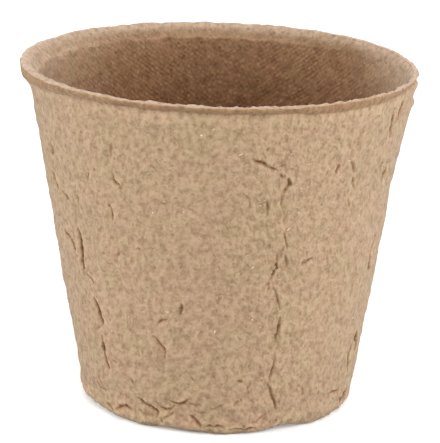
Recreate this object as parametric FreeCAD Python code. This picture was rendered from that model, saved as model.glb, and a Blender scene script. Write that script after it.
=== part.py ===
"""A round peat pot: one thin-walled moulding of pressed fibre pulp.

The pot is drawn as half of its cross-section, outside and inside, and turned once round its axis.
Lengths are in millimetres. The origin is on the ground under the middle of the pot, with +Z up.
"""

import FreeCAD, Part

import math
import os

from FreeCAD import Vector

# Driving sizes of the whole pot
MOUTH_DIAMETER = 80.0  # across the outside of the lip
BASE_DIAMETER = 55.0  # where the slope of the wall, drawn on down, meets the ground
POT_HEIGHT = 70.0
WALL_THICKNESS = 1.9  # square to the wall
FLOOR_THICKNESS = 2.1
BASE_CORNER_ROUND = 3.0  # outside, between the wall and the foot
INNER_CORNER_ROUND = 1.1  # inside, between the wall and the floor

# The flared lip, which curves out of the wall and ends upright
LIP_HEIGHT = 2.2  # from the kink in the wall to the top edge, outside
LIP_FLARE = 1.15  # how far it stands out past the kink
LIP_THICKNESS = 2.1  # level, across the top edge
LIP_BEVEL = 0.25  # on both borders of the top edge

# The ledge inside, which the edge of the forming screen leaves under the lip
LEDGE_DEPTH = 2.5  # from the top edge down to the ledge
LEDGE_WIDTH = 0.5
LEDGE_DROP = 0.3  # the ledge slopes down by this much towards the middle of the pot

# The floor, which is pushed up a little so that the pot stands on a ring
PUSH_UP = 1.0
FOOT_WIDTH = 4.0  # of the flat ring that the pot stands on
PUSH_UP_RUN = 3.0  # of the slope between that ring and the raised middle
DRAIN_HOLE_DIAMETER = 9.0
DRAIN_BEVEL = 0.4  # on both edges of the hole

# Worked out from the sizes above
MOUTH_RADIUS = MOUTH_DIAMETER / 2
BASE_RADIUS = BASE_DIAMETER / 2
KINK_HEIGHT = POT_HEIGHT - LIP_HEIGHT
KINK_RADIUS = MOUTH_RADIUS - LIP_FLARE
WALL_SLOPE = (KINK_RADIUS - BASE_RADIUS) / KINK_HEIGHT  # sideways for each step up
WALL_ANGLE = math.atan(WALL_SLOPE)
LEVEL_WALL = WALL_THICKNESS / math.cos(WALL_ANGLE)  # the wall measured level


def outer_radius(height):
    """Radius of the wall's outside at a height above the ground."""
    return BASE_RADIUS + WALL_SLOPE * height


def inner_radius(height):
    """Radius of the wall's inside at a height above the ground."""
    return outer_radius(height) - LEVEL_WALL


def place(radius, height):
    """A point of the cross-section, which lies in the XZ plane."""
    return Vector(radius, 0, height)


def straight_run(points):
    """The straight edges that join the points in turn."""
    return [Part.LineSegment(start, end).toShape() for start, end in zip(points, points[1:])]


def corner_arc(before, corner, after, radius):
    """The arc that rounds a corner of the outline, with its start and its end."""
    towards_before = (before - corner).normalize()
    towards_after = (after - corner).normalize()
    half_angle = towards_before.getAngle(towards_after) / 2
    setback = radius / math.tan(half_angle)
    start = corner + towards_before * setback
    end = corner + towards_after * setback
    middle_line = (towards_before + towards_after).normalize()
    middle = corner + middle_line * (radius / math.sin(half_angle) - radius)
    return Part.Arc(start, middle, end).toShape(), start, end


def lip_arc():
    """The outside of the lip: an arc from the kink out to an upright end at the top."""
    upright_end = place(MOUTH_RADIUS, POT_HEIGHT - LIP_BEVEL)
    kink = place(KINK_RADIUS, KINK_HEIGHT)
    rise = LIP_HEIGHT - LIP_BEVEL
    arc_radius = (rise**2 + LIP_FLARE**2) / (2 * LIP_FLARE)
    half_sweep = math.asin(rise / arc_radius) / 2
    middle_radius = MOUTH_RADIUS - arc_radius + arc_radius * math.cos(half_sweep)
    middle = place(middle_radius, upright_end.z - arc_radius * math.sin(half_sweep))
    return Part.Arc(kink, middle, upright_end).toShape()


def top_points():
    """The top edge of the lip, from its outer bevel to its inner one."""
    lip_inside = MOUTH_RADIUS - LIP_THICKNESS
    return [
        place(MOUTH_RADIUS, POT_HEIGHT - LIP_BEVEL),
        place(MOUTH_RADIUS - LIP_BEVEL, POT_HEIGHT),
        place(lip_inside + LIP_BEVEL, POT_HEIGHT),
        place(lip_inside, POT_HEIGHT - LIP_BEVEL),
    ]


def ledge_points():
    """The ledge under the lip, from its outer border to its inner one."""
    ledge_top = POT_HEIGHT - LEDGE_DEPTH
    ledge_foot = ledge_top - LEDGE_DROP
    return [
        place(inner_radius(ledge_top) + LEDGE_WIDTH, ledge_top),
        place(inner_radius(ledge_foot), ledge_foot),
    ]


def floor_points(foot_inside, level):
    """One face of the floor, from the inside of the foot ring in to the axis."""
    raised_edge = foot_inside - PUSH_UP_RUN
    return [
        place(foot_inside, level),
        place(raised_edge, level + PUSH_UP),
        place(0, level + PUSH_UP),
    ]


def section_face():
    """Half of the cross-section, as a flat face."""
    foot_outside = BASE_RADIUS - BASE_CORNER_ROUND * math.tan(math.pi / 4 - WALL_ANGLE / 2)
    foot_inside = foot_outside - FOOT_WIDTH
    underside = floor_points(foot_inside, 0)
    floor = floor_points(foot_inside, FLOOR_THICKNESS)
    kink = place(KINK_RADIUS, KINK_HEIGHT)
    ledge = ledge_points()
    outer_corner = place(BASE_RADIUS, 0)
    inner_corner = place(inner_radius(FLOOR_THICKNESS), FLOOR_THICKNESS)
    base_arc, foot_rim, base_end = corner_arc(underside[0], outer_corner, kink, BASE_CORNER_ROUND)
    floor_arc, wall_foot, floor_rim = corner_arc(ledge[-1], inner_corner, floor[0], INNER_CORNER_ROUND)
    edges = straight_run(underside[::-1] + [foot_rim])
    edges.append(base_arc)
    edges += straight_run([base_end, kink])
    edges.append(lip_arc())
    edges += straight_run(top_points() + ledge + [wall_foot])
    edges.append(floor_arc)
    edges += straight_run([floor_rim] + floor + [underside[-1]])
    return Part.Face(Part.Wire(edges))


def drain_punch():
    """What the drain hole takes out of the floor: a cylinder that widens at both faces."""
    hole_radius = DRAIN_HOLE_DIAMETER / 2
    wide_radius = hole_radius + DRAIN_BEVEL
    floor_top = PUSH_UP + FLOOR_THICKNESS
    hole = Part.makeCylinder(hole_radius, FLOOR_THICKNESS, Vector(0, 0, PUSH_UP))
    lower = Part.makeCone(wide_radius, hole_radius, DRAIN_BEVEL, Vector(0, 0, PUSH_UP))
    upper = Part.makeCone(hole_radius, wide_radius, DRAIN_BEVEL, Vector(0, 0, floor_top - DRAIN_BEVEL))
    return hole.fuse([lower, upper])


def make_pot():
    """The finished moulding, as one solid."""
    body = section_face().revolve(Vector(0, 0, 0), Vector(0, 0, 1), 360)
    return body.cut(drain_punch()).removeSplitter().Solids[0]


def main():
    os.makedirs("parts", exist_ok=True)
    pot = make_pot()
    pot.exportStep("parts/pot.step")
    print(f"pot: valid {pot.isValid()}, volume {pot.Volume:.0f} mm3, {len(pot.Faces)} faces")


main()
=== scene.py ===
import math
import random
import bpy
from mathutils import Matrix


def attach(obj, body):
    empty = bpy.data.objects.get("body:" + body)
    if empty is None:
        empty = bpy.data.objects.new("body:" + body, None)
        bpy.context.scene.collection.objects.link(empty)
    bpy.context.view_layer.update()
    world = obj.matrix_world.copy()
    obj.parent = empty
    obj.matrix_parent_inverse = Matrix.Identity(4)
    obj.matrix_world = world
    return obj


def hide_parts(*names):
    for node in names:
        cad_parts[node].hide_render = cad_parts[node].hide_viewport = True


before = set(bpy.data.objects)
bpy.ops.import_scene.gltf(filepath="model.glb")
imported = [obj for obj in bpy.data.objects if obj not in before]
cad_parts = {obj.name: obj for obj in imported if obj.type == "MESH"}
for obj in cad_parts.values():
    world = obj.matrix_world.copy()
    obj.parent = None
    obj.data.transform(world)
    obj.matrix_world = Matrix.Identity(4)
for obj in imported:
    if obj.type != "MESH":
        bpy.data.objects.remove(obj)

# %% [markdown]
# # A peat pot of pressed fibre pulp
#
# The CAD solid of this pot is a clean turned cup. A real one is a wet mat of pulp, sucked on to a wire
# screen and dried in an oven. It comes out uneven, wrinkled and full of short fibres, with the print of the
# screen on the inside. This script builds that uneven pot in the same place as the solid, and photographs
# it.
#
# Everything is in metres. The values that describe the pot are in millimetres, times MM.

# %% Tools and the size of the solid
from types import SimpleNamespace

import bmesh
import bpy
import numpy as np
from mathutils import Matrix, Vector, noise
from mathutils.bvhtree import BVHTree

MM = 0.001
NOISE_SEED = 7
noise.seed_set(NOISE_SEED)  # without it, noise_vector follows the clock


def show(name, data):
    """Puts a camera, a lamp or a mesh in the scene."""
    made = bpy.data.objects.new(name, data)
    bpy.context.collection.objects.link(made)
    return made


def finished(name, mesh):
    """The mesh data of a piece whose form is done."""
    data = bpy.data.meshes.new(name)
    mesh.to_mesh(data)
    mesh.free()
    return data


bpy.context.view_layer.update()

# %% [markdown]
# ## The camera
#
# The photograph shows the mouth as a flat ellipse, so the camera looks down by about 16 degrees. How much
# the wall narrows with depth says that it stood some 600 mm away with a long lens. The rim and the base both
# fall by 1.6 degrees to the right in the picture, so the camera is rolled by that much. Its axes are kept,
# because the wrinkles in the wall are placed through it later on.

# %% Camera
PICTURE_WIDTH, PICTURE_HEIGHT = 440, 443
FOCAL_PIXELS = 2928
CAMERA_DISTANCE = 600 * MM
CAMERA_ELEVATION = math.radians(15.81)
CAMERA_ROLL = math.radians(1.63)
CAMERA_PITCH = math.radians(0.159)
CAMERA_YAW = math.radians(0.032)
SENSOR_WIDTH = 36
NEAREST_SEEN = 50 * MM
POT_HEIGHT = 70 * MM

pot_middle = Vector((0, 0, POT_HEIGHT / 2))
look_from = Vector((0, -math.cos(CAMERA_ELEVATION), math.sin(CAMERA_ELEVATION)))
camera_place = pot_middle + look_from * CAMERA_DISTANCE
camera_turn = (
    Matrix.Rotation(math.pi / 2 - CAMERA_ELEVATION, 3, "X")
    @ Matrix.Rotation(-CAMERA_YAW, 3, "Y")
    @ Matrix.Rotation(CAMERA_PITCH, 3, "X")
    @ Matrix.Rotation(CAMERA_ROLL, 3, "Z")
)
camera_data = bpy.data.cameras.new("camera")
camera_data.sensor_width = SENSOR_WIDTH
camera_data.lens = FOCAL_PIXELS * SENSOR_WIDTH / max(PICTURE_WIDTH, PICTURE_HEIGHT)
camera_data.clip_start = NEAREST_SEEN
camera = show("camera", camera_data)
camera.matrix_world = Matrix.Translation(camera_place) @ camera_turn.to_4x4()
bpy.context.scene.camera = camera
print("lens", round(camera_data.lens, 1), "mm")

# %% [markdown]
# ## The outline, turned once round
#
# A pulp pot is a body of revolution before the pulp makes it uneven, so it starts as half of its cross-
# section, spun round the axis. The outline is a closed ring of corners: it runs from the drain hole out
# along the underside, up the wall, over the lip, down the inside and back over the floor. It never touches
# the axis, so the spin closes without poles. Corners that are round on the pot are beveled after the spin.

# %% Outline and spin
BASE_RADIUS = 27.6 * MM
KINK_RADIUS, KINK_HEIGHT = 38.65 * MM, 67.8 * MM
LEDGE_RADIUS, LEDGE_HEIGHT = 36.8 * MM, 67.1 * MM
FLOOR_CORNER_RADIUS, FLOOR_HEIGHT = 25.9 * MM, 2.1 * MM
WALL_SLOPE = (KINK_RADIUS - BASE_RADIUS) / KINK_HEIGHT  # sideways for each step up
STEPS_ROUND = 324
SAME_PLACE = 1e-6  # closer than this is the same height or radius

# Radius, height, how far the bevel sets back, and its segments
OUTLINE = [
    (4.5 * MM, 1 * MM, 0.35 * MM, 1),  # drain hole, below
    (18 * MM, 1 * MM, 1.2 * MM, 1),
    (21 * MM, 0, 1 * MM, 1),  # inside of the foot ring
    (BASE_RADIUS, 0, 2.1 * MM, 7),  # base corner
    (KINK_RADIUS, KINK_HEIGHT, 0.2 * MM, 2),  # the kink under the lip
    (39.45 * MM, 68.55 * MM, 0.3 * MM, 1),
    (39.9 * MM, 69.35 * MM, 0.2 * MM, 1),
    (40 * MM, POT_HEIGHT, 0.16 * MM, 2),  # top edge, outside
    (37.75 * MM, POT_HEIGHT, 1.4 * MM, 7),  # top edge, inside
    (37.3 * MM, 67.5 * MM, 0.15 * MM, 1),  # outer border of the ledge
    (LEDGE_RADIUS, LEDGE_HEIGHT, 0.15 * MM, 1),  # inner border of the ledge
    (FLOOR_CORNER_RADIUS, FLOOR_HEIGHT, 0.9 * MM, 3),  # inside corner of the floor
    (21 * MM, FLOOR_HEIGHT, 0.8 * MM, 1),
    (18 * MM, 3.1 * MM, 1.2 * MM, 1),
    (4.5 * MM, 3.1 * MM, 0.35 * MM, 1),  # drain hole, above
]


def axis_distance(place):
    """How far a place is from the pot's axis."""
    return math.hypot(place.x, place.y)


def wall_radius(height):
    """Radius of the wall's outside at one height or at many."""
    return BASE_RADIUS + WALL_SLOPE * height


def open_edges(mesh):
    """How many edges don't join two faces. A closed mesh has none."""
    return sum(not edge.is_manifold for edge in mesh.edges)


def spin_outline():
    """The plain pot with sharp corners."""
    mesh = bmesh.new()
    ring = [mesh.verts.new((radius, 0, height)) for radius, height, _, _ in OUTLINE]
    edges = [mesh.edges.new((ring[i - 1], ring[i])) for i in range(len(ring))]
    bmesh.ops.spin(
        mesh, geom=ring + edges, cent=(0, 0, 0), axis=(0, 0, 1), dvec=(0, 0, 0),
        angle=math.tau, steps=STEPS_ROUND, use_merge=True,
    )
    bmesh.ops.recalc_face_normals(mesh, faces=mesh.faces)
    return mesh


def lies_on_ring(edge, radius, height):
    """True if both ends of an edge lie on the circle of that radius and height."""
    return all(math.dist((axis_distance(v.co), v.co.z), (radius, height)) < SAME_PLACE for v in edge.verts)


def bevel_corners(mesh):
    """Rounds each corner of the outline, all the way round."""
    for radius, height, setback, segments in OUTLINE:
        ring = [edge for edge in mesh.edges if lies_on_ring(edge, radius, height)]
        bmesh.ops.bevel(
            mesh, geom=ring, offset=setback, segments=segments,
            profile=0.5, affect="EDGES", material=-1,
        )


pot_mesh = spin_outline()
bevel_corners(pot_mesh)
print("after the bevels:", len(pot_mesh.faces), "faces, open edges", open_edges(pot_mesh))

# %% [markdown]
# ## Rows up the wall
#
# The bands between the corners are cut into rows, short on the outside of the wall, which shows most, and
# longer where little happens. The lip gets twice as many steps round as the rest, for its ragged edge.

# %% Rows and lip
OUTER_ROW, INNER_ROW, FLOOR_ROW, LIP_ROW = 0.75 * MM, 1.8 * MM, 2.2 * MM, 0.55 * MM
LIP_ROWS_ABOVE = 66 * MM
FLOOR_ROWS_BELOW, FLOOR_ROWS_WITHIN = 4 * MM, 25.4 * MM
HALF_WALL = 0.9 * MM
SHORTEST_CUT = 0.1 * MM  # shorter edges stay whole
DOUBLED_ABOVE = 67 * MM


def row_height(middle):
    """How long the rows are at a place on the pot."""
    if middle.z > LIP_ROWS_ABOVE:
        return LIP_ROW
    radius = axis_distance(middle)
    if middle.z < FLOOR_ROWS_BELOW and radius < FLOOR_ROWS_WITHIN:
        return FLOOR_ROW
    return OUTER_ROW if radius > wall_radius(middle.z) - HALF_WALL else INNER_ROW


def rise_and_reach(edge):
    """How far an edge goes up, and how far out."""
    first, second = (v.co for v in edge.verts)
    return abs(first.z - second.z), abs(axis_distance(first) - axis_distance(second))


def cut_rows(mesh):
    """Cuts the edges that run up the wall and across the floor into rows."""
    groups = {}
    for edge in mesh.edges:
        length = math.hypot(*rise_and_reach(edge))
        middle = (edge.verts[0].co + edge.verts[1].co) / 2
        cuts = round(length / row_height(middle)) - 1
        if cuts > 0 and length > SHORTEST_CUT:
            groups.setdefault(cuts, []).append(edge)
    for cuts in sorted(groups):
        bmesh.ops.subdivide_edges(mesh, edges=groups[cuts], cuts=cuts, use_grid_fill=True)


def split_lip(mesh):
    """Doubles the steps round the lip."""
    high = [edge for edge in mesh.edges if min(v.co.z for v in edge.verts) > DOUBLED_ABOVE]
    ring = [edge for edge in high if max(rise_and_reach(edge)) < SAME_PLACE]
    bmesh.ops.subdivide_edges(mesh, edges=ring, cuts=1, use_grid_fill=True)


cut_rows(pot_mesh)
split_lip(pot_mesh)
print("rows cut:", len(pot_mesh.verts), "points")

# %% [markdown]
# ## Where the creases run
#
# Wet pulp slides on the screen and folds. The folds dry as fine creases, most of them upright, whose dark
# shade is painted into the pulp later on. Those on the front are drawn here along the photograph's own
# creases, in its pixels, and are carried through the camera on to the wall. A ray from the camera meets the
# cone of the wall where a quadratic says.

# %% Creases in front
# Each crease: strength, and the points of its path in the photograph's pixels
LEFT_CREASES = [
    (2.4, (64, 230), (69, 236), (72, 242), (75, 251)), (2.6, (78, 229), (81, 240), (82, 254), (83, 271)),
    (0.9, (84, 272), (89, 278), (94, 285)), (2.0, (93, 299), (97, 308), (100, 318), (101, 325)),
    (0.75, (101, 325), (96, 330)), (1.4, (101, 336), (103, 352), (108, 371)),
    (1.6, (51, 143), (53, 150), (53, 156)), (1.6, (54, 172), (56, 182), (59, 190)),
    (1.4, (62, 191), (65, 195), (69, 200)), (0.75, (112, 143), (111, 150), (110, 158)),
    (0.9, (113, 175), (114, 182), (121, 188)), (0.8, (107, 204), (111, 211), (113, 221)),
    (0.55, (118, 247), (117, 255), (117, 262)), (0.9, (89, 170), (88, 179)),
    (0.8, (77, 195), (78, 200), (79, 206)), (0.6, (94, 244), (95, 251)),
]
LOW_CREASES = [
    (1.0, (155, 337), (160, 344), (165, 351), (165, 360)), (0.8, (157, 324), (162, 320), (168, 321)),
    (0.9, (181, 304), (181, 315)), (0.55, (187, 372), (191, 378), (195, 383)),
]
FOOT_CREASES = [
    (1.4, (134, 397), (143, 403), (151, 409), (157, 414), (155, 419)),
    (1.7, (116, 409), (120, 407), (125, 407), (130, 411)), (1.1, (104, 403), (109, 406), (114, 412)),
    (0.8, (155, 402), (159, 407), (164, 411), (171, 410), (175, 406)),
    (1.2, (170, 401), (175, 405), (182, 405), (188, 400)), (0.7, (188, 405), (199, 406)),
    (1.2, (190, 417), (195, 420), (201, 427)), (1.1, (205, 427), (213, 427), (222, 427)),
    (0.6, (137, 409), (142, 415), (152, 417)), (0.6, (163, 420), (168, 418), (173, 413)),
    (0.5, (211, 411), (217, 408), (224, 405)), (1.2, (229, 431), (242, 431), (255, 429)),
    (0.6, (248, 425), (258, 420), (266, 415)), (0.5, (196, 411), (203, 414), (209, 414)),
    (0.7, (161, 419), (162, 425)), (0.5, (97, 372), (98, 380), (102, 388)), (0.6, (259, 382), (262, 380)),
    (0.5, (240, 399), (242, 401)), (0.6, (233, 406), (238, 402)), (0.5, (278, 399), (279, 404)),
    (0.8, (130, 380), (132, 384)), (0.7, (238, 381), (243, 382)), (0.5, (231, 420), (235, 421)),
    (0.5, (212, 375), (216, 379)), (0.5, (301, 388), (303, 396)), (0.9, (84, 384), (88, 392), (92, 397)),
    (0.9, (94, 380), (98, 387), (104, 393)),
]
LONG_FOLD = [
    (1.15, (252, 160), (261, 162), (268, 167), (276, 170), (280, 173)),
    (0.85, (280, 174), (283, 178), (288, 176)), (0.5, (277, 168), (282, 167), (286, 165)),
    (1.05, (289, 178), (291, 184), (287, 189), (283, 194)), (0.48, (283, 194), (282, 204), (285, 218)),
    (1.05, (284, 233), (286, 240), (287, 249)), (1.2, (278, 255), (277, 268), (272, 277), (270, 282)),
    (0.57, (270, 282), (268, 292)), (0.85, (275, 290), (278, 300), (280, 310)),
    (1.15, (280, 318), (278, 330), (276, 340)), (0.7, (275, 357), (272, 368), (271, 376), (267, 381)),
    (1.15, (267, 384), (270, 391), (273, 400), (276, 413)),
    (0.3, (285, 200), (286, 222), (286, 240), (279, 262), (272, 280), (277, 300), (277, 345), (269, 378)),
]
MIDDLE_CREASES = [
    (0.65, (268, 201), (268, 210), (267, 218)), (0.6, (260, 204), (268, 202)), (0.8, (286, 256), (287, 267)),
    (0.5, (247, 196), (250, 202), (251, 210)), (0.9, (135, 250), (140, 250)), (0.45, (221, 297), (219, 303)),
]
RIGHT_CREASES = [
    (1.2, (303, 263), (311, 259)), (1.0, (339, 166), (336, 174)), (0.75, (352, 160), (355, 172)),
    (0.65, (328, 170), (324, 178), (320, 187)), (0.75, (354, 177), (356, 190)), (0.6, (349, 199), (350, 207)),
    (0.5, (328, 257), (328, 265)), (1.9, (403, 102), (399, 112), (396, 122)),
    (1.4, (394, 108), (392, 120), (390, 136)), (1.0, (383, 162), (381, 169)),
    (1.5, (388, 167), (386, 173), (383, 181)), (2.2, (376, 235), (373, 244), (371, 252)),
    (1.9, (370, 255), (370, 262), (369, 270)), (2.0, (356, 332), (355, 340), (354, 349)),
    (1.7, (352, 343), (348, 358), (346, 372)), (2.4, (347, 387), (344, 393), (341, 399), (338, 405)),
    (1.0, (330, 393), (338, 390)), (0.52, (250, 383), (246, 391)),
]
WALL_LEAN = -0.0145  # sideways for each step up


def on_wall(pixel):
    """The place on the outside of the wall that the camera sees at a pixel."""
    across = (pixel[0] - PICTURE_WIDTH / 2) / FOCAL_PIXELS
    down = (pixel[1] - PICTURE_HEIGHT / 2) / FOCAL_PIXELS
    ray = camera_turn @ Vector((across, -down, -1))
    start = camera_place
    reach = wall_radius(start.z)
    a = ray.x**2 + ray.y**2 - (WALL_SLOPE * ray.z) ** 2
    b = start.x * ray.x + start.y * ray.y - reach * WALL_SLOPE * ray.z
    c = start.x**2 + start.y**2 - reach**2
    distance = (-b - math.sqrt(max(b * b - a * c, 0))) / a
    place = start + ray * distance
    height = max(place.z, 0)
    place.x -= WALL_LEAN * (height - POT_HEIGHT / 2)
    return Vector((*(place.xy.normalized() * wall_radius(height)), height))


drawn = LEFT_CREASES + LOW_CREASES + FOOT_CREASES + LONG_FOLD + MIDDLE_CREASES + RIGHT_CREASES
creases_in_front = [(strength, [on_wall(p) for p in pixels]) for strength, *pixels in drawn]
print("creases in front:", len(creases_in_front))

# %% [markdown]
# ## Creases at the back
#
# The photograph doesn't show the back, so its creases are walked at random with a fixed seed. Some follow
# one another in a line down the wall, with gaps between them, like the long line in front. Others are short
# and stand alone, and many lie at the foot.

# %% Creases at the back
CREASE_SEED = 11
FOLD_LINES = 5
FOLD_START, FOLD_END, FOLD_GAP = (42, 64), 8, (1, 12)  # in millimetres
FOLD_STRENGTH, FOLD_STEPS, FOLD_LEAN = (0.4, 1.1), (2, 6), 0.15
STEP, LOWEST = (1.2, 2.4), 0.5 * MM

# How many, then the ranges of degrees, height, strength and steps, and how far from upright
LONE_CREASES = [
    (14, (8, 172), (8, 62), (0.3, 0.6), (2, 4), 0.4),
    (26, (5, 175), (2, 7), (0.4, 1.0), (1, 3), 1.1),  # at the foot
]


def wall_point(angle, height):
    """The place on the outside of the wall at an angle round the axis and a height."""
    radius = wall_radius(height)
    return Vector((radius * math.cos(angle), radius * math.sin(angle), height))


def random_walk(chance, angle, height, steps, lean):
    """A crease that wanders down the wall from a place on it."""
    points = [wall_point(angle, height)]
    heading = chance.gauss(0, lean)
    for _ in range(steps):
        heading += chance.gauss(0, 0.25)
        step = chance.uniform(*STEP) * MM
        height = max(height - step * math.cos(heading), LOWEST)
        angle += step * math.sin(heading) / wall_radius(height)
        points.append(wall_point(angle, height))
    return points


def fold_line(chance, angle):
    """Creases that follow one another down the wall, with gaps between them."""
    height = chance.uniform(*FOLD_START) * MM
    paths = []
    while height > FOLD_END * MM:
        points = random_walk(chance, angle, height, chance.randint(*FOLD_STEPS), FOLD_LEAN)
        paths.append((chance.uniform(*FOLD_STRENGTH), points))
        angle = math.atan2(points[-1].y, points[-1].x) + chance.gauss(0, 0.02)
        height = points[-1].z - chance.uniform(*FOLD_GAP) * MM
    return paths


def creases_behind():
    """Every crease at the back, as (strength, points on the wall)."""
    chance = random.Random(CREASE_SEED)
    paths = []
    for i in range(FOLD_LINES):
        paths += fold_line(chance, math.radians(15 + 150 * (i + chance.random()) / FOLD_LINES))
    for count, degrees, heights, strengths, steps, lean in LONE_CREASES:
        for _ in range(count):
            angle = math.radians(chance.uniform(*degrees))
            height = chance.uniform(*heights) * MM
            strength = chance.uniform(*strengths)
            paths.append((strength, random_walk(chance, angle, height, chance.randint(*steps), lean)))
    return paths


# %% [markdown]
# ## Creases in short pieces
#
# A real crease isn't a smooth line. Each path is cut into pieces of half a millimetre, whose ends are nudged
# a little by noise. More noise makes the crease stronger and weaker on its way, and both its ends fade out.

# %% Crease pieces
PIECE_LENGTH, FEWEST_PIECES = 0.5 * MM, 3
NUDGE, NUDGES_PER_MM = 0.22 * MM, 0.9
UNEVENNESS, CHANGES_PER_MM = 0.7, 1.1


def place_along(points, lengths, along):
    """The place that lies that far along a path."""
    for start, end, length in zip(points, points[1:], lengths):
        if along <= length:
            break
        along -= length
    return start.lerp(end, min(along / length, 1))


def crease_pieces(paths):
    """Start, end, strength at the start and at the end of every short piece of crease."""
    pieces = []
    for strength, points in paths:
        lengths = [(end - start).length for start, end in zip(points, points[1:])]
        count = max(round(sum(lengths) / PIECE_LENGTH), FEWEST_PIECES)
        chain = []
        for i in range(count + 1):
            place = place_along(points, lengths, sum(lengths) * i / count)
            nudge = noise.noise_vector(place / MM * NUDGES_PER_MM) * NUDGE
            faded = math.sqrt(max(math.sin(math.pi * (i + 0.4) / (count + 0.8)), 0))
            uneven = 1 + UNEVENNESS * noise.noise(place / MM * CHANGES_PER_MM)
            chain.append((place + nudge, strength * faded * uneven))
        for (start, start_strength), (end, end_strength) in zip(chain, chain[1:]):
            pieces.append((start, end, start_strength, end_strength))
    return tuple(np.array(column) for column in zip(*pieces))


creases = crease_pieces(creases_in_front + creases_behind())
print("crease pieces:", len(creases[0]))

# %% [markdown]
# ## A finer mesh along the creases
#
# A crease is about half a millimetre wide, finer than the rows. The mesh is divided again only near the
# creases, twice, so that each one is cut into the surface itself.

# %% Refine along the creases
REFINE_REACH = (1.1 * MM, 0.55 * MM)
OUTSIDE_DEPTH = 1.2 * MM  # points less deep in the wall than this belong to its outside
AT_A_TIME = 4000  # points, to save memory


def crease_distance(points, outward=None):
    """For each point: distance to the nearest crease, its strength there, and the side it lies on."""
    start, end, strength_a, strength_b = creases
    along = end - start
    length2 = (along**2).sum(1)
    best, strength, side = (np.zeros(len(points)) for _ in range(3))
    for first in range(0, len(points), AT_A_TIME):
        some = slice(first, first + AT_A_TIME)
        offset = points[some][:, None, :] - start[None]
        t = np.clip((offset * along[None]).sum(2) / length2, 0, 1)
        apart = offset - along[None] * t[..., None]
        distance = np.linalg.norm(apart, axis=2)
        near = distance.argmin(1)
        rows = np.arange(len(near))
        best[some] = distance[rows, near]
        strength[some] = strength_a[near] + (strength_b[near] - strength_a[near]) * t[rows, near]
        if outward is not None:
            cross = np.cross(along[near], apart[rows, near])
            side[some] = np.sign((cross * outward[some]).sum(1))
    return best, strength, side


def refine_near_creases(mesh):
    """Divides the edges that lie near a crease."""
    for reach in REFINE_REACH:
        places = np.array([v.co for v in mesh.verts])
        radius = np.hypot(places[:, 0], places[:, 1])
        outside = radius > wall_radius(places[:, 2]) - OUTSIDE_DEPTH
        distance = np.full(len(places), math.inf)
        distance[outside] = crease_distance(places[outside])[0]
        mesh.verts.index_update()
        close = [edge for edge in mesh.edges if max(distance[v.index] for v in edge.verts) < reach]
        bmesh.ops.subdivide_edges(mesh, edges=close, cuts=1, use_grid_fill=True)
        print("refined", len(close), "edges")


refine_near_creases(pot_mesh)
many_sided = [face for face in pot_mesh.faces if len(face.verts) > 4]
bmesh.ops.triangulate(pot_mesh, faces=many_sided)
print("triangles:", sum(len(face.verts) - 2 for face in pot_mesh.faces))

# %% [markdown]
# ## Where each point lies
#
# The whole pot is moved first, inside and outside together, so that the wall keeps its thickness. Then each
# surface gets its own relief. Each form has an amount, and fades in and out with the height and on the way
# round. What the forms share is measured once here for all points: how far a point belongs to the outside,
# to the lip, to the left end and so on, always from 0 to 1. At the front the lip's inner half is raised
# until its top is level, so its height counts as that of the raised top.

# %% Measure
MOUTH_RADIUS = 40 * MM
LEVELLING = 0.75
SIDE_BY_FACING = 68 * MM  # above this, the way that a point faces says which side it is on


def smooth_step(low, high, value):
    """Rises smoothly from 0 to 1 between two values."""
    t = np.clip((value - low) / (high - low), 0, 1)
    return t * t * (3 - 2 * t)


def rising(at, low, high):
    """Rises from 0 to 1 between two heights in millimetres."""
    return smooth_step(low * MM, high * MM, at.height)


def swelling(at, middle, half_height):
    """1 at a height, fading softly above and below it."""
    return np.exp(-(((at.height - middle) / half_height) ** 2))


def waves(places, size, octaves, seed, where):
    """Fractal noise between about -1 and 1, at the places where it is wanted. Zero elsewhere."""
    total = np.zeros(len(places))
    wanted = np.flatnonzero(where > 0.001)
    for octave in range(octaves):
        scaled = places[wanted] * 2**octave / size + [seed, seed * 0.7, -seed]
        total[wanted] += [noise.noise(p) / 2**octave for p in scaled.tolist()]
    return total


def measure(mesh):
    """Where every point of the pot is, and which parts of the pot it belongs to."""
    mesh.normal_update()
    mesh.verts.index_update()
    at = SimpleNamespace()
    at.place = np.array([v.co for v in mesh.verts])
    at.normal = np.array([v.normal for v in mesh.verts])
    at.radius = np.hypot(at.place[:, 0], at.place[:, 1])
    at.outwards = at.place * [1, 1, 0] / at.radius[:, None]
    at.right = np.clip(at.outwards[:, 0], 0, 1)
    at.left = np.clip(-at.outwards[:, 0], 0, 1)
    at.degrees = np.degrees(np.arctan2(at.outwards[:, 0], -at.outwards[:, 1]))
    at.on_mouth = at.outwards * MOUTH_RADIUS
    facing_out = (at.normal * at.outwards).sum(1)
    height = at.place[:, 2]
    at.level_top = smooth_step(0, 0.5, -at.outwards[:, 1]) * (facing_out < 0.2)
    at.level_top *= smooth_step(67.6 * MM, 68.6 * MM, height)
    at.height = height + LEVELLING * at.level_top * (POT_HEIGHT - height)
    outer = smooth_step(-1.2 * MM, -0.8 * MM, at.radius - wall_radius(at.height))
    at.outer = np.where(at.height > SIDE_BY_FACING, smooth_step(-0.3, 0, facing_out), outer)
    at.inner = 1 - at.outer
    at.above_floor = rising(at, 1, 6)
    at.on_lip = rising(at, 66.6, 69.5)
    at.at_top = rising(at, 69.3, 69.9)
    at.on_wall = at.outer * (1 - rising(at, 67, 67.8)) * rising(at, 0, 0.6)
    at.no_ledge = smooth_step(0.2, 0.7, at.outwards[:, 0])
    at.ridge = at.inner * swelling(at, 67.35 * MM, 0.4 * MM) * (1 - at.no_ledge)
    return at


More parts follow.
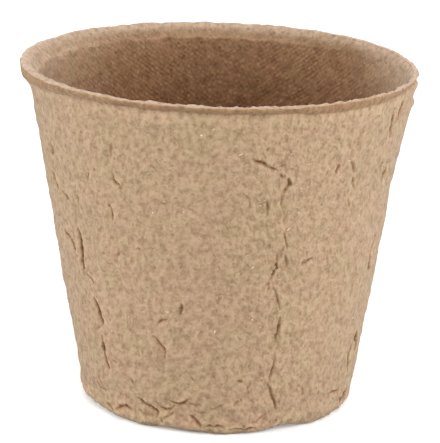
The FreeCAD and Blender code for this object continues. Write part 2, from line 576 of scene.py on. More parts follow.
# %% [markdown]
# ## The lean, the swell and the ragged edge
#
# A pot that dries freely goes out of round. This one leans to the left by a millimetre over its height,
# swells under the lip on the right, and has slow waves in its wall. The lip bulges at its left end, and two
# small bumps stand out under its right end. The mouth tilts to the right and droops at both ends, its cut
# edge is ragged, and the foot doesn't touch the ground everywhere.

# %% Bend
WALL_INSET = 0.1 * MM
SLOW_WAVE, SLOW_SIZE = 0.22 * MM, 20 * MM
RIGHT_SWELL, LEFT_FLARE = 0.7 * MM, 0.35 * MM
RIM_TILT, RIM_DROOP = 0.006, 0.3 * MM
TEAR_OUT, TEAR_OUT_SIZE = 0.12 * MM, 1.5 * MM
TEAR_UP, MORE_TEAR_IN_FRONT = 0.1 * MM, 0.17 * MM
TEAR_SIZE, FINE_TEAR_SIZE = 2.2 * MM, 0.75 * MM

# Power of the share that keeps them at their end, then height, half height and how far out
LEFT_BUMPS = (10, [(68.1 * MM, 0.9 * MM, 0.85 * MM), (66.7 * MM, 1.3 * MM, 0.4 * MM)])
RIGHT_BUMPS = (24, [
    (69.2 * MM, 0.5 * MM, -0.25 * MM), (66.9 * MM, 0.6 * MM, 0.5 * MM),
    (65.0 * MM, 0.4 * MM, -0.3 * MM), (64.2 * MM, 0.7 * MM, 0.6 * MM),
])

# Where the foot is off the ground: degrees from the front, half width in degrees, and how far
BASE_LIFTS = [
    (-65, 12, 0.55 * MM), (-18, 9, 0.2 * MM), (30, 9, 1.0 * MM),
    (110, 14, 0.3 * MM), (170, 16, 0.35 * MM), (-125, 12, 0.25 * MM),
]


def base_lift(at):
    """How far the foot stands off the ground, fading out up the wall."""
    lift = np.zeros(len(at.height))
    for middle, half_width, amount in BASE_LIFTS:
        apart = (at.degrees - middle + 180) % 360 - 180
        lift += amount * np.exp(-((apart / half_width) ** 2))
    return lift * (1 - rising(at, 0, 9))


def outward_bend(at):
    """How far each point moves away from the axis."""
    bend = SLOW_WAVE * waves(at.place, SLOW_SIZE, 2, 3.1, at.above_floor) * at.above_floor
    bend += RIGHT_SWELL * rising(at, 48, 62) * (1 - at.on_lip) * at.right**2
    bend += LEFT_FLARE * at.on_lip * at.left**1.5 - WALL_INSET * at.above_floor * (1 - at.on_lip)
    bend += TEAR_OUT * at.at_top * waves(at.place, TEAR_OUT_SIZE, 3, 8.0, at.at_top)
    for share, (power, bumps) in ((at.left, LEFT_BUMPS), (at.right, RIGHT_BUMPS)):
        for middle, half_height, amount in bumps:
            bend += amount * swelling(at, middle, half_height) * share**power * at.outer
    return bend


def bent(at):
    """Where the large forms take every point."""
    moved = at.place + at.outwards * outward_bend(at)[:, None]
    moved[:, 0] += WALL_LEAN * (at.height - POT_HEIGHT / 2)
    risen = at.height / POT_HEIGHT
    moved[:, 2] = at.height - risen**2 * RIM_TILT * at.place[:, 0]
    moved[:, 2] -= risen**4 * RIM_DROOP * (at.left**4 + 0.7 * at.right**12)
    torn = waves(at.place, TEAR_SIZE, 2, 5.0, at.at_top) + waves(at.place, FINE_TEAR_SIZE, 1, 6.0, at.at_top)
    moved[:, 2] += at.at_top * (TEAR_UP + MORE_TEAR_IN_FRONT * at.level_top) * torn
    moved[:, 2] += base_lift(at)
    return moved


# %% [markdown]
# ## The kink under the lip, and the ledge inside
#
# The lip's outside is shorter than the solid's in front and taller at the left, so the kink under it slides
# up or down the wall. Inside, the edge of the screen left a wavy ledge with a fine ridge on it. The ledge
# fades out on the right, where the wall opens like a funnel instead.

# %% Kink and ledge
LIP_RISE, LEFT_DROP, RIGHT_DROP, RIGHT_RISE = 0.8 * MM, 1.6 * MM, 0.6 * MM, 0.8 * MM
KINK_WAVE, KINK_WAVE_SIZE = 0.2 * MM, 4 * MM
LEDGE_WAVE, LEDGE_WAVE_SIZE = 0.4 * MM, 5 * MM
RIDGE = 0.2 * MM
FUNNEL, FUNNEL_FOOT, FUNNEL_HEIGHT = 2.0 * MM, 58 * MM, 12 * MM
INNER_SLOPE = (LEDGE_RADIUS - FLOOR_CORNER_RADIUS) / (LEDGE_HEIGHT - FLOOR_HEIGHT)


def slide_kink(at, moved):
    """Slides the border under the lip's outside up or down the wall."""
    kink_here = rising(at, 65, 67.6) * (1 - rising(at, 68.2, 69.8))
    drop = LEFT_DROP * at.left**5 + RIGHT_DROP * smooth_step(0.35, 0.5, at.right)
    drop += KINK_WAVE * waves(at.on_mouth, KINK_WAVE_SIZE, 2, 1.5, kink_here)
    drop -= RIGHT_RISE * at.right**8 + LIP_RISE
    drop *= at.outer * kink_here
    moved[:, 2] -= drop
    moved -= at.outwards * (drop * WALL_SLOPE)[:, None]


def shape_ledge(at, moved):
    """Waves the ledge, presses its ridge in, and opens the funnel on the right."""
    ledge_here = at.inner * rising(at, 66, 66.9) * (1 - rising(at, 67.6, 68.6))
    moved[:, 2] += LEDGE_WAVE * ledge_here * waves(at.on_mouth, LEDGE_WAVE_SIZE, 3, 9.0, ledge_here)
    inner_line = FLOOR_CORNER_RADIUS + (at.height - FLOOR_HEIGHT) * INNER_SLOPE
    risen = np.clip((at.height - FUNNEL_FOOT) / FUNNEL_HEIGHT, 0, 1)
    funnel = inner_line + FUNNEL * (1 - np.sqrt(1 - risen**2))
    in_funnel = at.inner * at.no_ledge * (at.height > FUNNEL_FOOT - MM) * (1 - rising(at, 69.93, 69.99))
    moved += at.outwards * (in_funnel * (funnel - at.radius) - RIDGE * at.ridge)[:, None]


# %% [markdown]
# ## Lumps, puckers and creases
#
# The relief is measured along each surface's own normal. The outside has soft lumps, the small ones drawn
# out upright, because the pulp slid down the screen. The foot is puckered and rolled outwards, most of all at
# the front left. A crease is a narrow groove in a shallow dent, between two folds, one higher than the other.

# %% Relief
LUMP, LUMP_SIZE = 0.23 * MM, 4.2 * MM
SMALL_LUMP, SMALL_LUMP_SIZE = 0.23 * MM, 1.3 * MM
SMALL_LUMP_STRETCH, PUCKER_STRETCH = (1, 1, 0.7), (1, 1, 0.45)
PUCKER, PUCKER_SIZE = 0.8 * MM, 3.2 * MM
ROLL, ROLL_HEIGHT, ROLL_SIZE = 0.22 * MM, 1.9 * MM, 1.3 * MM
ROLL_WAVE_SIZE = 5 * MM
CREASE_DEPTH, CREASE_HALF_WIDTH = 0.36 * MM, 0.3 * MM
DENT_DEPTH, DENT_HALF_WIDTH = 0.1 * MM, 0.8 * MM
FOLD_PLACE, FOLD_WIDTH = 2.1, 1.3  # in half widths of the groove
HIGH_FOLD, LOW_FOLD = 0.38, 0.1


def lump_relief(at):
    """Soft lumps: large ones everywhere, small upright ones on the outside."""
    everywhere = np.ones(len(at.place))
    large = LUMP * waves(at.place, LUMP_SIZE, 2, 0.5, everywhere)
    small = SMALL_LUMP * waves(at.place * SMALL_LUMP_STRETCH, SMALL_LUMP_SIZE, 1, 2.5, at.outer)
    return large + small * (0.3 + 0.7 * at.on_wall)


def foot_relief(at):
    """The relief of the puckers and the roll, and how far each point belongs to the roll, for its painted
    highlight.
    """
    at_base = (1 - rising(at, 3, 10)) * at.on_wall
    puckers = PUCKER * at_base * np.abs(waves(at.place * PUCKER_STRETCH, PUCKER_SIZE, 2, 4.0, at_base))
    front_left = smooth_step(-100, -75, at.degrees) * (1 - smooth_step(0, 25, at.degrees))
    rolled = (0.35 + 0.65 * front_left) * at.on_wall
    rolled *= 0.7 + 0.9 * waves(at.on_mouth, ROLL_WAVE_SIZE, 2, 7.0, at_base)
    foot = swelling(at, ROLL_HEIGHT, ROLL_SIZE)
    hollow_above = swelling(at, ROLL_HEIGHT + 1.8 * ROLL_SIZE, 0.6 * ROLL_SIZE)
    return ROLL * rolled * (foot - 0.6 * hollow_above) - puckers, rolled * foot


def crease_relief(at):
    """The relief of the creases, and the shares of the painted shade in the groove and the painted highlight
    on the fold.
    """
    relief, groove_shade, fold_highlight = (np.zeros(len(at.place)) for _ in range(3))
    near = np.flatnonzero(at.on_wall > 0.01)
    distance, strength, side = crease_distance(at.place[near], at.normal[near])
    across = distance / (CREASE_HALF_WIDTH * np.sqrt(np.clip(strength, 0.3, 2)))
    cut = strength * np.exp(-(across**2))
    fold = strength * np.exp(-(((across - FOLD_PLACE) / FOLD_WIDTH) ** 2))
    fold *= np.where(side > 0, HIGH_FOLD, LOW_FOLD)
    dent = strength * np.exp(-((distance / DENT_HALF_WIDTH) ** 2))
    relief[near] = (CREASE_DEPTH * (fold - cut) - DENT_DEPTH * dent) * at.on_wall[near]
    # Painted shade in the groove, and a painted highlight on the fold beside it
    groove_shade[near] = np.clip(cut * 1.2, 0, 2) * at.on_wall[near]
    fold_highlight[near] = np.clip(fold * 2.5, 0, 1) * at.on_wall[near]
    return relief, groove_shade, fold_highlight


# %% [markdown]
# ## Where each tone goes
#
# The material reads six values from the points, most of them painted light and shade: painted shade in a
# groove, a painted highlight on a fold, painted shade on the inside, painted shade and a darker tone on the
# lip's outside, the pinker lining above the ledge with painted light, and a painted highlight on the cut
# edge.
# They follow the same shares as the forms. The painted shade inside gets lighter towards the mouth, and
# sooner at both ends.

# %% Tones
# How much the painted shade inside lifts, between two heights
PALER_INSIDE = [(0.25, 50, 66.5), (0.25, 66.9, 67.4), (0.5, 67.4, 69.6)]  # how much, between two heights
PALER_AT_LEFT, PALER_BY_LEDGE = 0.38, 0.16
UNDERSIDE_TOP = 1.6 * MM
CUT_EDGE_FOOT = 68.8 * MM
UNDER_LIP, UNDER_LIP_SIZE = 66.8 * MM, 0.8 * MM


def painted_fold_highlight(at, fold_highlight, rolled):
    """Painted highlights: on the folds, on the roll of the foot, and in a line right under the lip."""
    under_lip = swelling(at, UNDER_LIP, UNDER_LIP_SIZE) * at.on_wall
    uneven = 0.7 + 0.6 * waves(at.on_mouth, 3 * MM, 2, 5.5, under_lip)
    return np.clip(np.maximum(fold_highlight, under_lip * uneven) + 0.8 * rolled, 0, 1)


def inside_shade_share(at, at_right):
    """How far each point belongs to the inside, whose painted shade deepens with depth."""
    inside_and_shade = 1 - sum(paler * rising(at, *heights) for paler, *heights in PALER_INSIDE)
    inside_and_shade -= PALER_AT_LEFT * smooth_step(0.55, 0.95, at.left) * rising(at, 50, 66)
    by_ledge = smooth_step(0.15, 0.6, at.left) * rising(at, 63, 66.8)
    inside_and_shade -= PALER_BY_LEDGE * by_ledge * (at.height < LEDGE_HEIGHT)
    fading = 1 - rising(at, 55, 69)
    inside_and_shade = np.maximum(inside_and_shade * (1 - at_right) + at_right * fading, 0)
    underneath = (at.height < UNDERSIDE_TOP) * (at.normal[:, 2] < 0.2)
    return at.inner * inside_and_shade * (1 - underneath)


def all_tones(at, groove_shade, fold_highlight, rolled):
    """The values that the material reads, by name, most of them painted light and shade."""
    at_right = smooth_step(0.7, 1, at.right)
    # Painted highlight on the up-facing cut edge, stronger at both ends and at the front, and on the ledge's
    # ridge; painted light in the funnel on the right
    facing_up = at.normal[:, 2] + 0.35 * at.level_top
    cut_edge_highlight = smooth_step(0.45 - 0.35 * at.no_ledge, 0.8 + 0.15 * at.no_ledge, facing_up)
    cut_edge_highlight *= at.height > CUT_EDGE_FOOT
    cut_edge_highlight *= 0.66 + 0.34 * np.maximum(np.abs(at.outwards[:, 0]) ** 4, 0.4 * at.level_top)
    funnel_light = at.inner * at_right * rising(at, 62, 69.9) * (1 - cut_edge_highlight)
    rim_highlight = np.maximum(cut_edge_highlight * (at.outer + 0.6 * at.inner), at.ridge * (0.3 + 0.5 * at.left))
    # Painted shade on the lip's outside, over a darker tone there; the pinker lining, with painted light that
    # reaches lower on the right
    return {
        "groove_shade": groove_shade,
        "fold_highlight": painted_fold_highlight(at, fold_highlight, rolled),
        "inside_and_shade": inside_shade_share(at, at_right),
        "lip_tone_and_shade": at.outer * rising(at, 67.6, 67.85) * (1 - cut_edge_highlight),
        "lining_and_light": at.inner * rising(at, 67 - 7 * at_right, 69.6),
        "rim_highlight": rim_highlight + 0.4 * funnel_light,
    }


# %% Move the points and write the tones
def make_uneven(mesh):
    """Moves every point of the pot, and writes the tones on it."""
    at = measure(mesh)
    moved = bent(at)
    slide_kink(at, moved)
    shape_ledge(at, moved)
    wrinkles, groove_shade, fold_highlight = crease_relief(at)
    foot, rolled = foot_relief(at)
    moved += at.normal * (lump_relief(at) + foot + wrinkles)[:, None]
    moved[:, 2] = np.maximum(moved[:, 2], 0)
    tones = all_tones(at, groove_shade, fold_highlight, rolled)
    layers = {name: mesh.verts.layers.float.new(name) for name in tones}
    for v in mesh.verts:
        v.co = moved[v.index]
        for name, layer in layers.items():
            v[layer] = tones[name][v.index]


make_uneven(pot_mesh)
print("open edges", open_edges(pot_mesh))

# %% [markdown]
# ## A flat pattern for the fibres and the screen
#
# The wall is a cone, and a cone unrolls flat without stretching. Its unrolled sheet is the UV map, in
# millimetres, so that fibres and the weave of the screen keep their real size all over the wall. The sheet
# of the outside is centred at the front and that of the inside at the back, so neither seam shows in the
# photograph. The floor uses its own plane.

# %% UV map
SLANT = math.sqrt(1 + WALL_SLOPE**2)
APEX_SHARE = WALL_SLOPE / SLANT
FLOOR_SHEET_ASIDE = 300  # millimetres, which keeps the floor's sheet clear of the wall's
FLAT_FACE = 0.7
FOOT_TOP, FACING_DOWN = 5 * MM, -0.2


def unroll(mesh):
    """Gives every corner of every face its place on the flat sheet, in millimetres."""
    layer = mesh.loops.layers.uv.new("Unrolled")
    for face in mesh.faces:
        middle = face.calc_center_median()
        facing = 1 if face.normal.x * middle.x + face.normal.y * middle.y < 0 else -1
        middle_angle = math.atan2(middle.x, facing * middle.y)
        flat = abs(face.normal.z) > FLAT_FACE
        for loop in face.loops:
            place = loop.vert.co
            if flat:
                loop[layer].uv = (place.x / MM + FLOOR_SHEET_ASIDE, place.y / MM)
                continue
            angle = math.atan2(place.x, facing * place.y)
            angle += math.tau * round((middle_angle - angle) / math.tau)
            slant = (BASE_RADIUS / WALL_SLOPE + place.z) * SLANT / MM
            if middle.z < FOOT_TOP and face.normal.z < FACING_DOWN:
                slant -= (BASE_RADIUS - axis_distance(place)) / MM
            turn = angle * APEX_SHARE
            loop[layer].uv = (slant * math.sin(turn), slant * math.cos(turn))


unroll(pot_mesh)
surface = BVHTree.FromBMesh(pot_mesh)
for face in pot_mesh.faces:
    face.smooth = True
pot = show("pot_moulding", finished("pot_moulding", pot_mesh))
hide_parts("pot")
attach(pot, "root")

# %% [markdown]
# ## The pulp
#
# Pulp is mottled at every size: soft clouds of tone, a felt of short fibres lying all ways, fine grain, and
# a few dark specks. A fibre is a short line in a cell of a Voronoi pattern, turned by the cell's own random
# colour. Four sizes of cell make a felt, and three more patterns of the same kind are its smudges, marks and
# flecks. The same layers drive colour and bump, and the low places get painted shade besides the mottle.

# %% Node helpers


def new_material(name):
    """An empty material and its node tree."""
    material = bpy.data.materials.new(name)
    material.use_nodes = True
    material.node_tree.nodes.clear()
    return material, material.node_tree


def add(tree, kind, inputs=None, **settings):
    """Adds a node. An input is a value, or a socket to link."""
    made = tree.nodes.new("ShaderNode" + kind)
    for name, value in settings.items():
        setattr(made, name, value)
    for key, value in (inputs or {}).items():
        socket = made.inputs[key]
        if isinstance(value, bpy.types.NodeSocket):
            tree.links.new(value, socket)
        else:
            socket.default_value = value
    return made


def calc(tree, operation, *values, clamp=False):
    """Adds a sum, a root or the like of some values."""
    return add(tree, "Math", dict(enumerate(values)), operation=operation, use_clamp=clamp).outputs[0]


def times(tree, first, second):
    """Adds a product."""
    return calc(tree, "MULTIPLY", first, second)


def millimetres(tree):
    """The place on the solid pot, in millimetres."""
    place = add(tree, "TexCoord").outputs["Object"]
    return add(tree, "VectorMath", {0: place, "Scale": 1 / MM}, operation="SCALE").outputs[0]


def fibre_felt(tree, vector, cell, half_width, half_length, seed):
    """One fibre in each cell, lying at random: its rounded height, 0 beside it. Sizes are in millimetres."""
    shifted = add(tree, "VectorMath", {0: vector, 1: (seed, seed * 1.7, 0)}, operation="ADD").outputs[0]
    cells = add(tree, "TexVoronoi", {"Vector": shifted, "Scale": 1 / cell}, voronoi_dimensions="2D")
    local = add(tree, "VectorMath", {0: shifted, 1: cells.outputs["Position"]}, operation="SUBTRACT")
    x, y, _ = add(tree, "SeparateXYZ", {0: local.outputs[0]}).outputs
    turned, bent_by, risen_by = add(tree, "SeparateColor", {0: cells.outputs["Color"]}).outputs
    angle = times(tree, turned, math.tau)
    sine, cosine = calc(tree, "SINE", angle), calc(tree, "COSINE", angle)
    along = calc(tree, "ADD", times(tree, x, cosine), times(tree, y, sine))
    across = calc(tree, "SUBTRACT", times(tree, y, cosine), times(tree, x, sine))
    curl = times(tree, calc(tree, "SUBTRACT", bent_by, 0.5), 1 / cell)
    across = calc(tree, "ADD", across, times(tree, times(tree, along, along), curl))
    side = calc(tree, "DIVIDE", across, half_width)
    end = calc(tree, "DIVIDE", along, half_length)
    end = times(tree, end, end)
    gone = calc(tree, "MULTIPLY_ADD", side, side, times(tree, end, end))
    rounded = calc(tree, "SUBTRACT", 1, gone, clamp=True)
    return times(tree, rounded, calc(tree, "MULTIPLY_ADD", risen_by, 0.7, 0.3))


def noise_at(tree, vector, size, detail):
    """Noise between 0 and 1 whose features are about that size, in millimetres."""
    return add(tree, "TexNoise", {"Vector": vector, "Scale": 1 / size, "Detail": detail}).outputs[0]


def spread(tree, value, low, high, out_low=0, out_high=1):
    """Carries the range from low to high over to another range, and keeps to its ends."""
    return add(tree, "MapRange", {0: value, 1: low, 2: high, 3: out_low, 4: out_high}).outputs[0]


def blend(tree, factor, first, second, kind="MIX"):
    """Mixes the second colour into the first by a factor, or multiplies by it."""
    inputs = {0: factor, 6: first, 7: second}
    return add(tree, "Mix", inputs, data_type="RGBA", blend_type=kind).outputs[2]


# %% [markdown]
# ## What the pulp is made of
#
# Two tones lie in clouds, the lining above the ledge is pinker and carries painted light, and the cut edge
# carries a painted highlight, the palest tone. Whatever lies on them multiplies their tone: single fibres and
# the painted highlight on folds make it paler, all else makes it darker. Among the darker marks are painted
# shade in the low places, on the inside, on the lip's outside and in the creases.

# %% Pulp material
OCHRE = (0.486, 0.386, 0.246, 1)
ROSE = (0.508, 0.377, 0.258, 1)
# The pinker lining, with painted light in it
LINING_AND_LIGHT = (0.515, 0.404, 0.297, 1)
# Painted highlight on the cut edge
CUT_EDGE_HIGHLIGHT = (0.67, 0.525, 0.392, 1)

# What each mark does to the tone that it lies on
PALE_FIBRE = (1.4, 1.55, 1.8, 1)
# Painted shade in the low places, with the pulp's own mottle
GAP_AND_HOLLOW_SHADE = (0.53, 0.45, 0.38, 1)
SMUDGE = (0.55, 0.44, 0.35, 1)
SPECK = (0.22, 0.17, 0.14, 1)
# Painted shade in the creases, darker yet in their cores
CREASE_SHADE = (0.6, 0.45, 0.33, 1)
CREASE_CORE_SHADE = (0.5, 0.43, 0.4, 1)
# Painted highlight on the folds, the foot's roll and under the lip
FOLD_HIGHLIGHT = (1.18, 1.19, 1.21, 1)
# Painted shade on the lip's outside, over a darker tone of the lip
LIP_TONE_AND_SHADE = (0.8, 0.685, 0.555, 1)
# Painted shade inside, deeper further down
INSIDE_SHADE = (0.59, 0.414, 0.301, 1)
PRINT = (0.5, 0.36, 0.27, 1)

# Sizes in millimetres
CLOUD_SIZE, PATCH_SIZE, BLOT_SIZE, LUMP_TONE_SIZE, GRAIN_SIZE = 5, 3, 2.1, 1.07, 0.48
UPRIGHT = (1, 1, 0.8)  # stretches the lumps and the grain upwards
WIRE_PITCH = 0.85
WIRE_TURN = math.radians(32)
WARP_SIZE, WARP = 3, (1.1, 1.1, 0)  # pulls the weave out of line
SPECK_CELL = 3.2

# Cell, half width, half length, seed
FELT_LAYERS = [
    (1.7, 0.22, 0.65, 3), (2.0, 0.26, 0.75, 17), (1.5, 0.2, 0.6, 41), (1.8, 0.24, 0.65, 89),
]
SMUDGE_LAYER = (1.5, 0.26, 0.44, 67)
MARK_LAYER = (1.9, 0.42, 0.66, 113)
FLECK_LAYER = (2.3, 0.36, 0.52, 151)


def screen_print(tree, flat):
    """The print of a woven screen, sewn at the back so that its wires rise both ways, from about -1 to 1."""
    warp = add(tree, "TexNoise", {"Vector": flat, "Scale": 1 / WARP_SIZE, "Detail": 2}).outputs["Color"]
    warped = add(tree, "VectorMath", {0: warp, 1: WARP, 2: flat}, operation="MULTIPLY_ADD").outputs[0]
    across, upwards, _ = add(tree, "SeparateXYZ", {0: warped}).outputs
    from_seam = calc(tree, "ABSOLUTE", across)
    mirrored = add(tree, "CombineXYZ", {0: from_seam, 1: upwards}).outputs[0]
    turned = add(tree, "VectorRotate", {"Vector": mirrored, "Angle": -WIRE_TURN}, rotation_type="Z_AXIS")
    across, upwards, _ = add(tree, "SeparateXYZ", {0: turned.outputs[0]}).outputs
    u, v = (times(tree, value, math.pi / WIRE_PITCH) for value in (across, upwards))
    strong = spread(tree, from_seam, 4, 15, 0.25, 0.5)
    wires = times(tree, calc(tree, "COSINE", times(tree, v, 2)), strong)
    wires = calc(tree, "MULTIPLY_ADD", calc(tree, "COSINE", times(tree, u, 2)), 0.25, wires)
    weave = times(tree, calc(tree, "COSINE", u), calc(tree, "COSINE", v))
    return calc(tree, "MULTIPLY_ADD", weave, 0.42, wires)


def pulp_material():
    """The pulp, from the flat pattern, the solid noises and the tones on the points, painted light and shade
    among them.
    """
    material, tree = new_material("pulp")
    flat = add(tree, "UVMap", uv_map="Unrolled").outputs[0]
    solid = millimetres(tree)
    groove_shade, fold_highlight, inside_and_shade, lip_tone_and_shade, lining_and_light, rim_highlight = (
        add(tree, "Attribute", attribute_name=name).outputs["Fac"]
        for name in ("groove_shade", "fold_highlight", "inside_and_shade", "lip_tone_and_shade", "lining_and_light", "rim_highlight")
    )

    felt = 0.0
    for layer in FELT_LAYERS:
        felt = calc(tree, "MAXIMUM", felt, fibre_felt(tree, flat, *layer))
    upright = add(tree, "VectorMath", {0: solid, 1: UPRIGHT}, operation="MULTIPLY").outputs[0]
    grain = noise_at(tree, upright, GRAIN_SIZE, 1)
    lumps = noise_at(tree, upright, LUMP_TONE_SIZE, 1.4)
    blots = noise_at(tree, solid, BLOT_SIZE, 1)
    smudges = fibre_felt(tree, flat, *SMUDGE_LAYER)
    marks = spread(tree, fibre_felt(tree, flat, *MARK_LAYER), 0.1, 0.9)
    flecks = spread(tree, fibre_felt(tree, flat, *FLECK_LAYER), 0.3, 0.95)
    specks = add(tree, "TexVoronoi", {"Vector": solid, "Scale": 1 / SPECK_CELL})
    rare = add(tree, "SeparateColor", {0: specks.outputs["Color"]}).outputs[0]
    speck = spread(tree, specks.outputs["Distance"], 0.05, 0.1, 1, 0)
    speck = times(tree, speck, spread(tree, rare, 0.86, 0.9))
    # Painted shade in the low places of the lumps and the grain, less on the fibres
    low = spread(tree, lumps, 0.35, 0.62, 0.55, 0)
    low = calc(tree, "ADD", low, spread(tree, grain, 0.35, 0.65, 0.15, 0))
    low = times(tree, low, calc(tree, "MULTIPLY_ADD", felt, -0.55, 1))
    weave = screen_print(tree, flat)
    patch = spread(tree, noise_at(tree, solid, PATCH_SIZE, 3), 0.38, 0.65, 0.25, 1)
    weave = times(tree, weave, times(tree, inside_and_shade, patch))

    clouds = spread(tree, noise_at(tree, solid, CLOUD_SIZE, 3), 0.35, 0.65)
    colour = blend(tree, clouds, OCHRE, ROSE)
    # The pinker lining, with painted light
    colour = blend(tree, times(tree, lining_and_light, 0.8), colour, LINING_AND_LIGHT)
    # Painted highlight on the cut edge and the ledge's ridge
    colour = blend(tree, times(tree, rim_highlight, 0.9), colour, CUT_EDGE_HIGHLIGHT)
    # Painted shade on the lip's outside, on the inside, in the low places and in the creases; painted
    # highlight on the folds
    for mark, tint in (
        (lip_tone_and_shade, LIP_TONE_AND_SHADE),
        (inside_and_shade, INSIDE_SHADE),
        (spread(tree, low, 0.05, 0.75, 0, 0.66), GAP_AND_HOLLOW_SHADE),
        (times(tree, felt, 0.07), PALE_FIBRE),
        (times(tree, smudges, 0.15), SMUDGE),
        (times(tree, marks, 0.26), SMUDGE),
        (times(tree, flecks, 0.5), SMUDGE),
        (spread(tree, blots, 0.45, 0.75, 0, 0.24), SMUDGE),
        (times(tree, speck, 0.7), SPECK),
        (spread(tree, weave, -0.9, 0.9, 0.95, 0), PRINT),
        (times(tree, inside_and_shade, spread(tree, lumps, 0.42, 0.6, 0, 0.7)), SMUDGE),
        (times(tree, inside_and_shade, spread(tree, blots, 0.42, 0.6, 0, 0.32)), SMUDGE),
        (fold_highlight, FOLD_HIGHLIGHT),
        (groove_shade, CREASE_SHADE),
        (calc(tree, "SUBTRACT", groove_shade, 1, clamp=True), CREASE_CORE_SHADE),
    ):
        colour = blend(tree, mark, colour, tint, "MULTIPLY")

    height = 0.0
    for layer, rise in (
        (felt, 0.012), (grain, 0.04), (lumps, 0.55),
        (smudges, -0.03), (marks, -0.03), (flecks, -0.04), (weave, 0.06),
    ):
        height = calc(tree, "MULTIPLY_ADD", layer, rise, height)
    bump = add(tree, "Bump", {"Strength": 1.0, "Distance": MM, "Height": height})
    rough = spread(tree, grain, 0.3, 0.7, 0.86, 0.98)
    shader = add(tree, "BsdfPrincipled", {
        "Base Color": colour, "Roughness": rough, "Normal": bump.outputs[0], "Specular IOR Level": 0.2,
        "Sheen Weight": 0.12, "Sheen Roughness": 0.5,
    })
    add(tree, "OutputMaterial", {"Surface": shader.outputs[0]})
    return material


pot.data.materials.append(pulp_material())

# %% [markdown]
# ## Loose fibres
#
# Some fibres lie on the surface, half sunk in it, and catch the light. One fibre is a thin cylinder, divided
# along its length, drawn to a point at both ends and bent. Copies of a few such fibres are dropped on the
# wall: a ray towards the axis says where the uneven surface is and which way it faces.

# %% Fibres
# Name, how many, width, thickness, darkest and palest tone, seed
FIBRE_SETS = [
    ("pulp_fibres", 1000, 0.24 * MM, 0.11 * MM, (0.37, 0.275, 0.175, 1), (0.46, 0.35, 0.23, 1), 5),
    ("pale_fibres", 50, 0.17 * MM, 0.13 * MM, (0.66, 0.52, 0.39, 1), (0.78, 0.65, 0.51, 1), 8),
    ("dark_fibres", 550, 0.34 * MM, 0.15 * MM, (0.28, 0.19, 0.11, 1), (0.4, 0.28, 0.17, 1), 6),
]
FIBRE_LENGTH, WIDTH_SHARE = (0.4, 1.1), (0.7, 1.2)
LOWEST_FIBRE, FIBRE_SPAN = 1.5 * MM, 65 * MM
RAY_START = 60 * MM
BENDS = (-3, -1, 0.6, 2)


def one_fibre(bend):
    """A fibre along X, of length, width and thickness 1."""
    mesh = bmesh.new()
    along_x = Matrix.Rotation(math.pi / 2, 4, "Y")
    bmesh.ops.create_cone(
        mesh, cap_ends=True, segments=4, radius1=0.5, radius2=0.5, depth=1, matrix=along_x,
    )
    long_edges = [edge for edge in mesh.edges if edge.calc_length() > 0.9]
    bmesh.ops.subdivide_edges(mesh, edges=long_edges, cuts=3)
    for v in mesh.verts:
        v.co.yz *= math.sqrt(1.05 - (2 * v.co.x) ** 2)
        v.co.y += bend * v.co.x**2
    return finished("fibre", mesh)


def lay_fibres(name, count, width, thickness, low_tone, high_tone, seed):
    """Many fibres, dropped on the outside of the wall, as one piece."""
    chance = random.Random(seed)
    shapes = [one_fibre(bend) for bend in BENDS]
    mesh = bmesh.new()
    for _ in range(count):
        angle = chance.uniform(0, math.tau)
        height = LOWEST_FIBRE + math.sqrt(chance.random()) * FIBRE_SPAN
        outwards = Vector((math.cos(angle), math.sin(angle), 0))
        start = outwards * RAY_START + Vector((0, 0, height))
        place, normal, _, _ = surface.ray_cast(start, -outwards)
        heading = Vector((0, 0, 1)).lerp(Vector((-outwards.y, outwards.x, 0)), chance.uniform(0, 1))
        heading = heading * chance.choice((-1, 1)) + outwards.cross(heading) * chance.gauss(0, 0.5)
        side = normal.cross(heading).normalized()
        turn = Matrix((side.cross(normal), side, normal)).transposed().to_4x4()
        length = chance.uniform(*FIBRE_LENGTH) * MM
        size = Matrix.Diagonal((length, width * chance.uniform(*WIDTH_SHARE), thickness, 1))
        laid = Matrix.Translation(place) @ turn @ size
        shape = chance.choice(shapes)
        shape.transform(laid)
        mesh.from_mesh(shape)
        shape.transform(laid.inverted())
    bmesh.ops.recalc_face_normals(mesh, faces=mesh.faces)
    for face in mesh.faces:
        face.smooth = True
    for shape in shapes:
        bpy.data.meshes.remove(shape)
    piece = show(name, finished(name, mesh))
    piece.data.materials.append(fibre_material(name, low_tone, high_tone))
    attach(piece, "root")
    print(name, len(piece.data.polygons), "faces")


def fibre_material(name, low_tone, high_tone):
    """Each stretch of fibre has its own tone between two."""
    material, tree = new_material(name)
    solid = millimetres(tree)
    tone = spread(tree, noise_at(tree, solid, 0.8, 2), 0.3, 0.7)
    shader = add(tree, "BsdfPrincipled", {
        "Base Color": blend(tree, tone, low_tone, high_tone), "Roughness": 0.8, "Specular IOR Level": 0.25,
    })
    add(tree, "OutputMaterial", {"Surface": shader.outputs[0]})
    return material


for fibre_set in FIBRE_SETS:
    lay_fibres(*fibre_set)

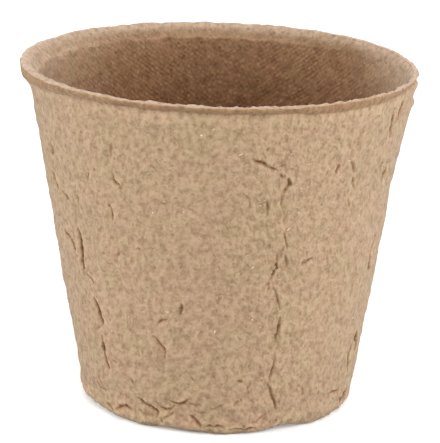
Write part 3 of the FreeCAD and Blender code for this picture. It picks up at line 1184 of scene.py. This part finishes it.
# %% [markdown]
# ## Floor and light
#
# The photograph is a cut-out on white, lit softly from all round: the wall is a little paler at both sides,
# the lip's outside is darker, and the inside darkens with depth. A white sky and a pale floor give the even
# light. Four lamps, in front, behind and at both sides, bring out the relief. The floor keeps the soft
# shadow under the pot. It lies a hair lower than the foot, so that the two don't share a plane.

# %% Floor and light
FLOOR_SIZE, FLOOR_GAP = 3, 0.02 * MM
FLOOR_TONE = (0.7, 0.7, 0.7, 1)
FLOOR_GLOW = 0.33
SKY_STRENGTH = 0.66
WHITE = (1, 1, 1, 1)


def floor_material():
    """A pale floor. The camera, mirrors and glass see it a little brighter than it lights the pot."""
    material, tree = new_material("floor")
    pale = add(tree, "BsdfDiffuse", {"Color": FLOOR_TONE})
    rays = add(tree, "LightPath").outputs
    seen = calc(tree, "MAXIMUM", rays["Is Glossy Ray"], rays["Is Transmission Ray"])
    seen = calc(tree, "MAXIMUM", rays["Is Camera Ray"], seen)
    glow = add(tree, "Emission", {"Color": WHITE, "Strength": times(tree, seen, FLOOR_GLOW)})
    both = add(tree, "AddShader", {0: pale.outputs[0], 1: glow.outputs[0]})
    add(tree, "OutputMaterial", {"Surface": both.outputs[0]})
    return material


floor_mesh = bmesh.new()
floor_place = Matrix.Translation((0, 0, -FLOOR_GAP))
bmesh.ops.create_grid(floor_mesh, x_segments=1, y_segments=1, size=FLOOR_SIZE, matrix=floor_place)
floor = show("floor", finished("floor", floor_mesh))
floor.data.materials.append(floor_material())


def lamp(name, place, size, power):
    """A square lamp that faces the pot."""
    data = bpy.data.lights.new(name, "AREA")
    data.size, data.energy = size, power
    turn = (Vector(place) - pot_middle).to_track_quat("Z", "Y").to_matrix()
    show(name, data).matrix_world = Matrix.Translation(place) @ turn.to_4x4()


lamp("front", (0.1, -1.0, 0.85), 0.5, 8.2)
lamp("left", (-1.1, -0.3, 0.45), 0.6, 10.2)
lamp("right", (1.1, -0.3, 0.45), 0.6, 10.7)
lamp("back", (-0.1, 1.1, 0.5), 0.5, 5)

world = bpy.data.worlds.new("sky")
bpy.context.scene.world = world
world.use_nodes = True
world.node_tree.nodes["Background"].inputs[0].default_value = WHITE
world.node_tree.nodes["Background"].inputs[1].default_value = SKY_STRENGTH

# %% Colours as they are
bpy.context.scene.view_settings.view_transform = "Standard"
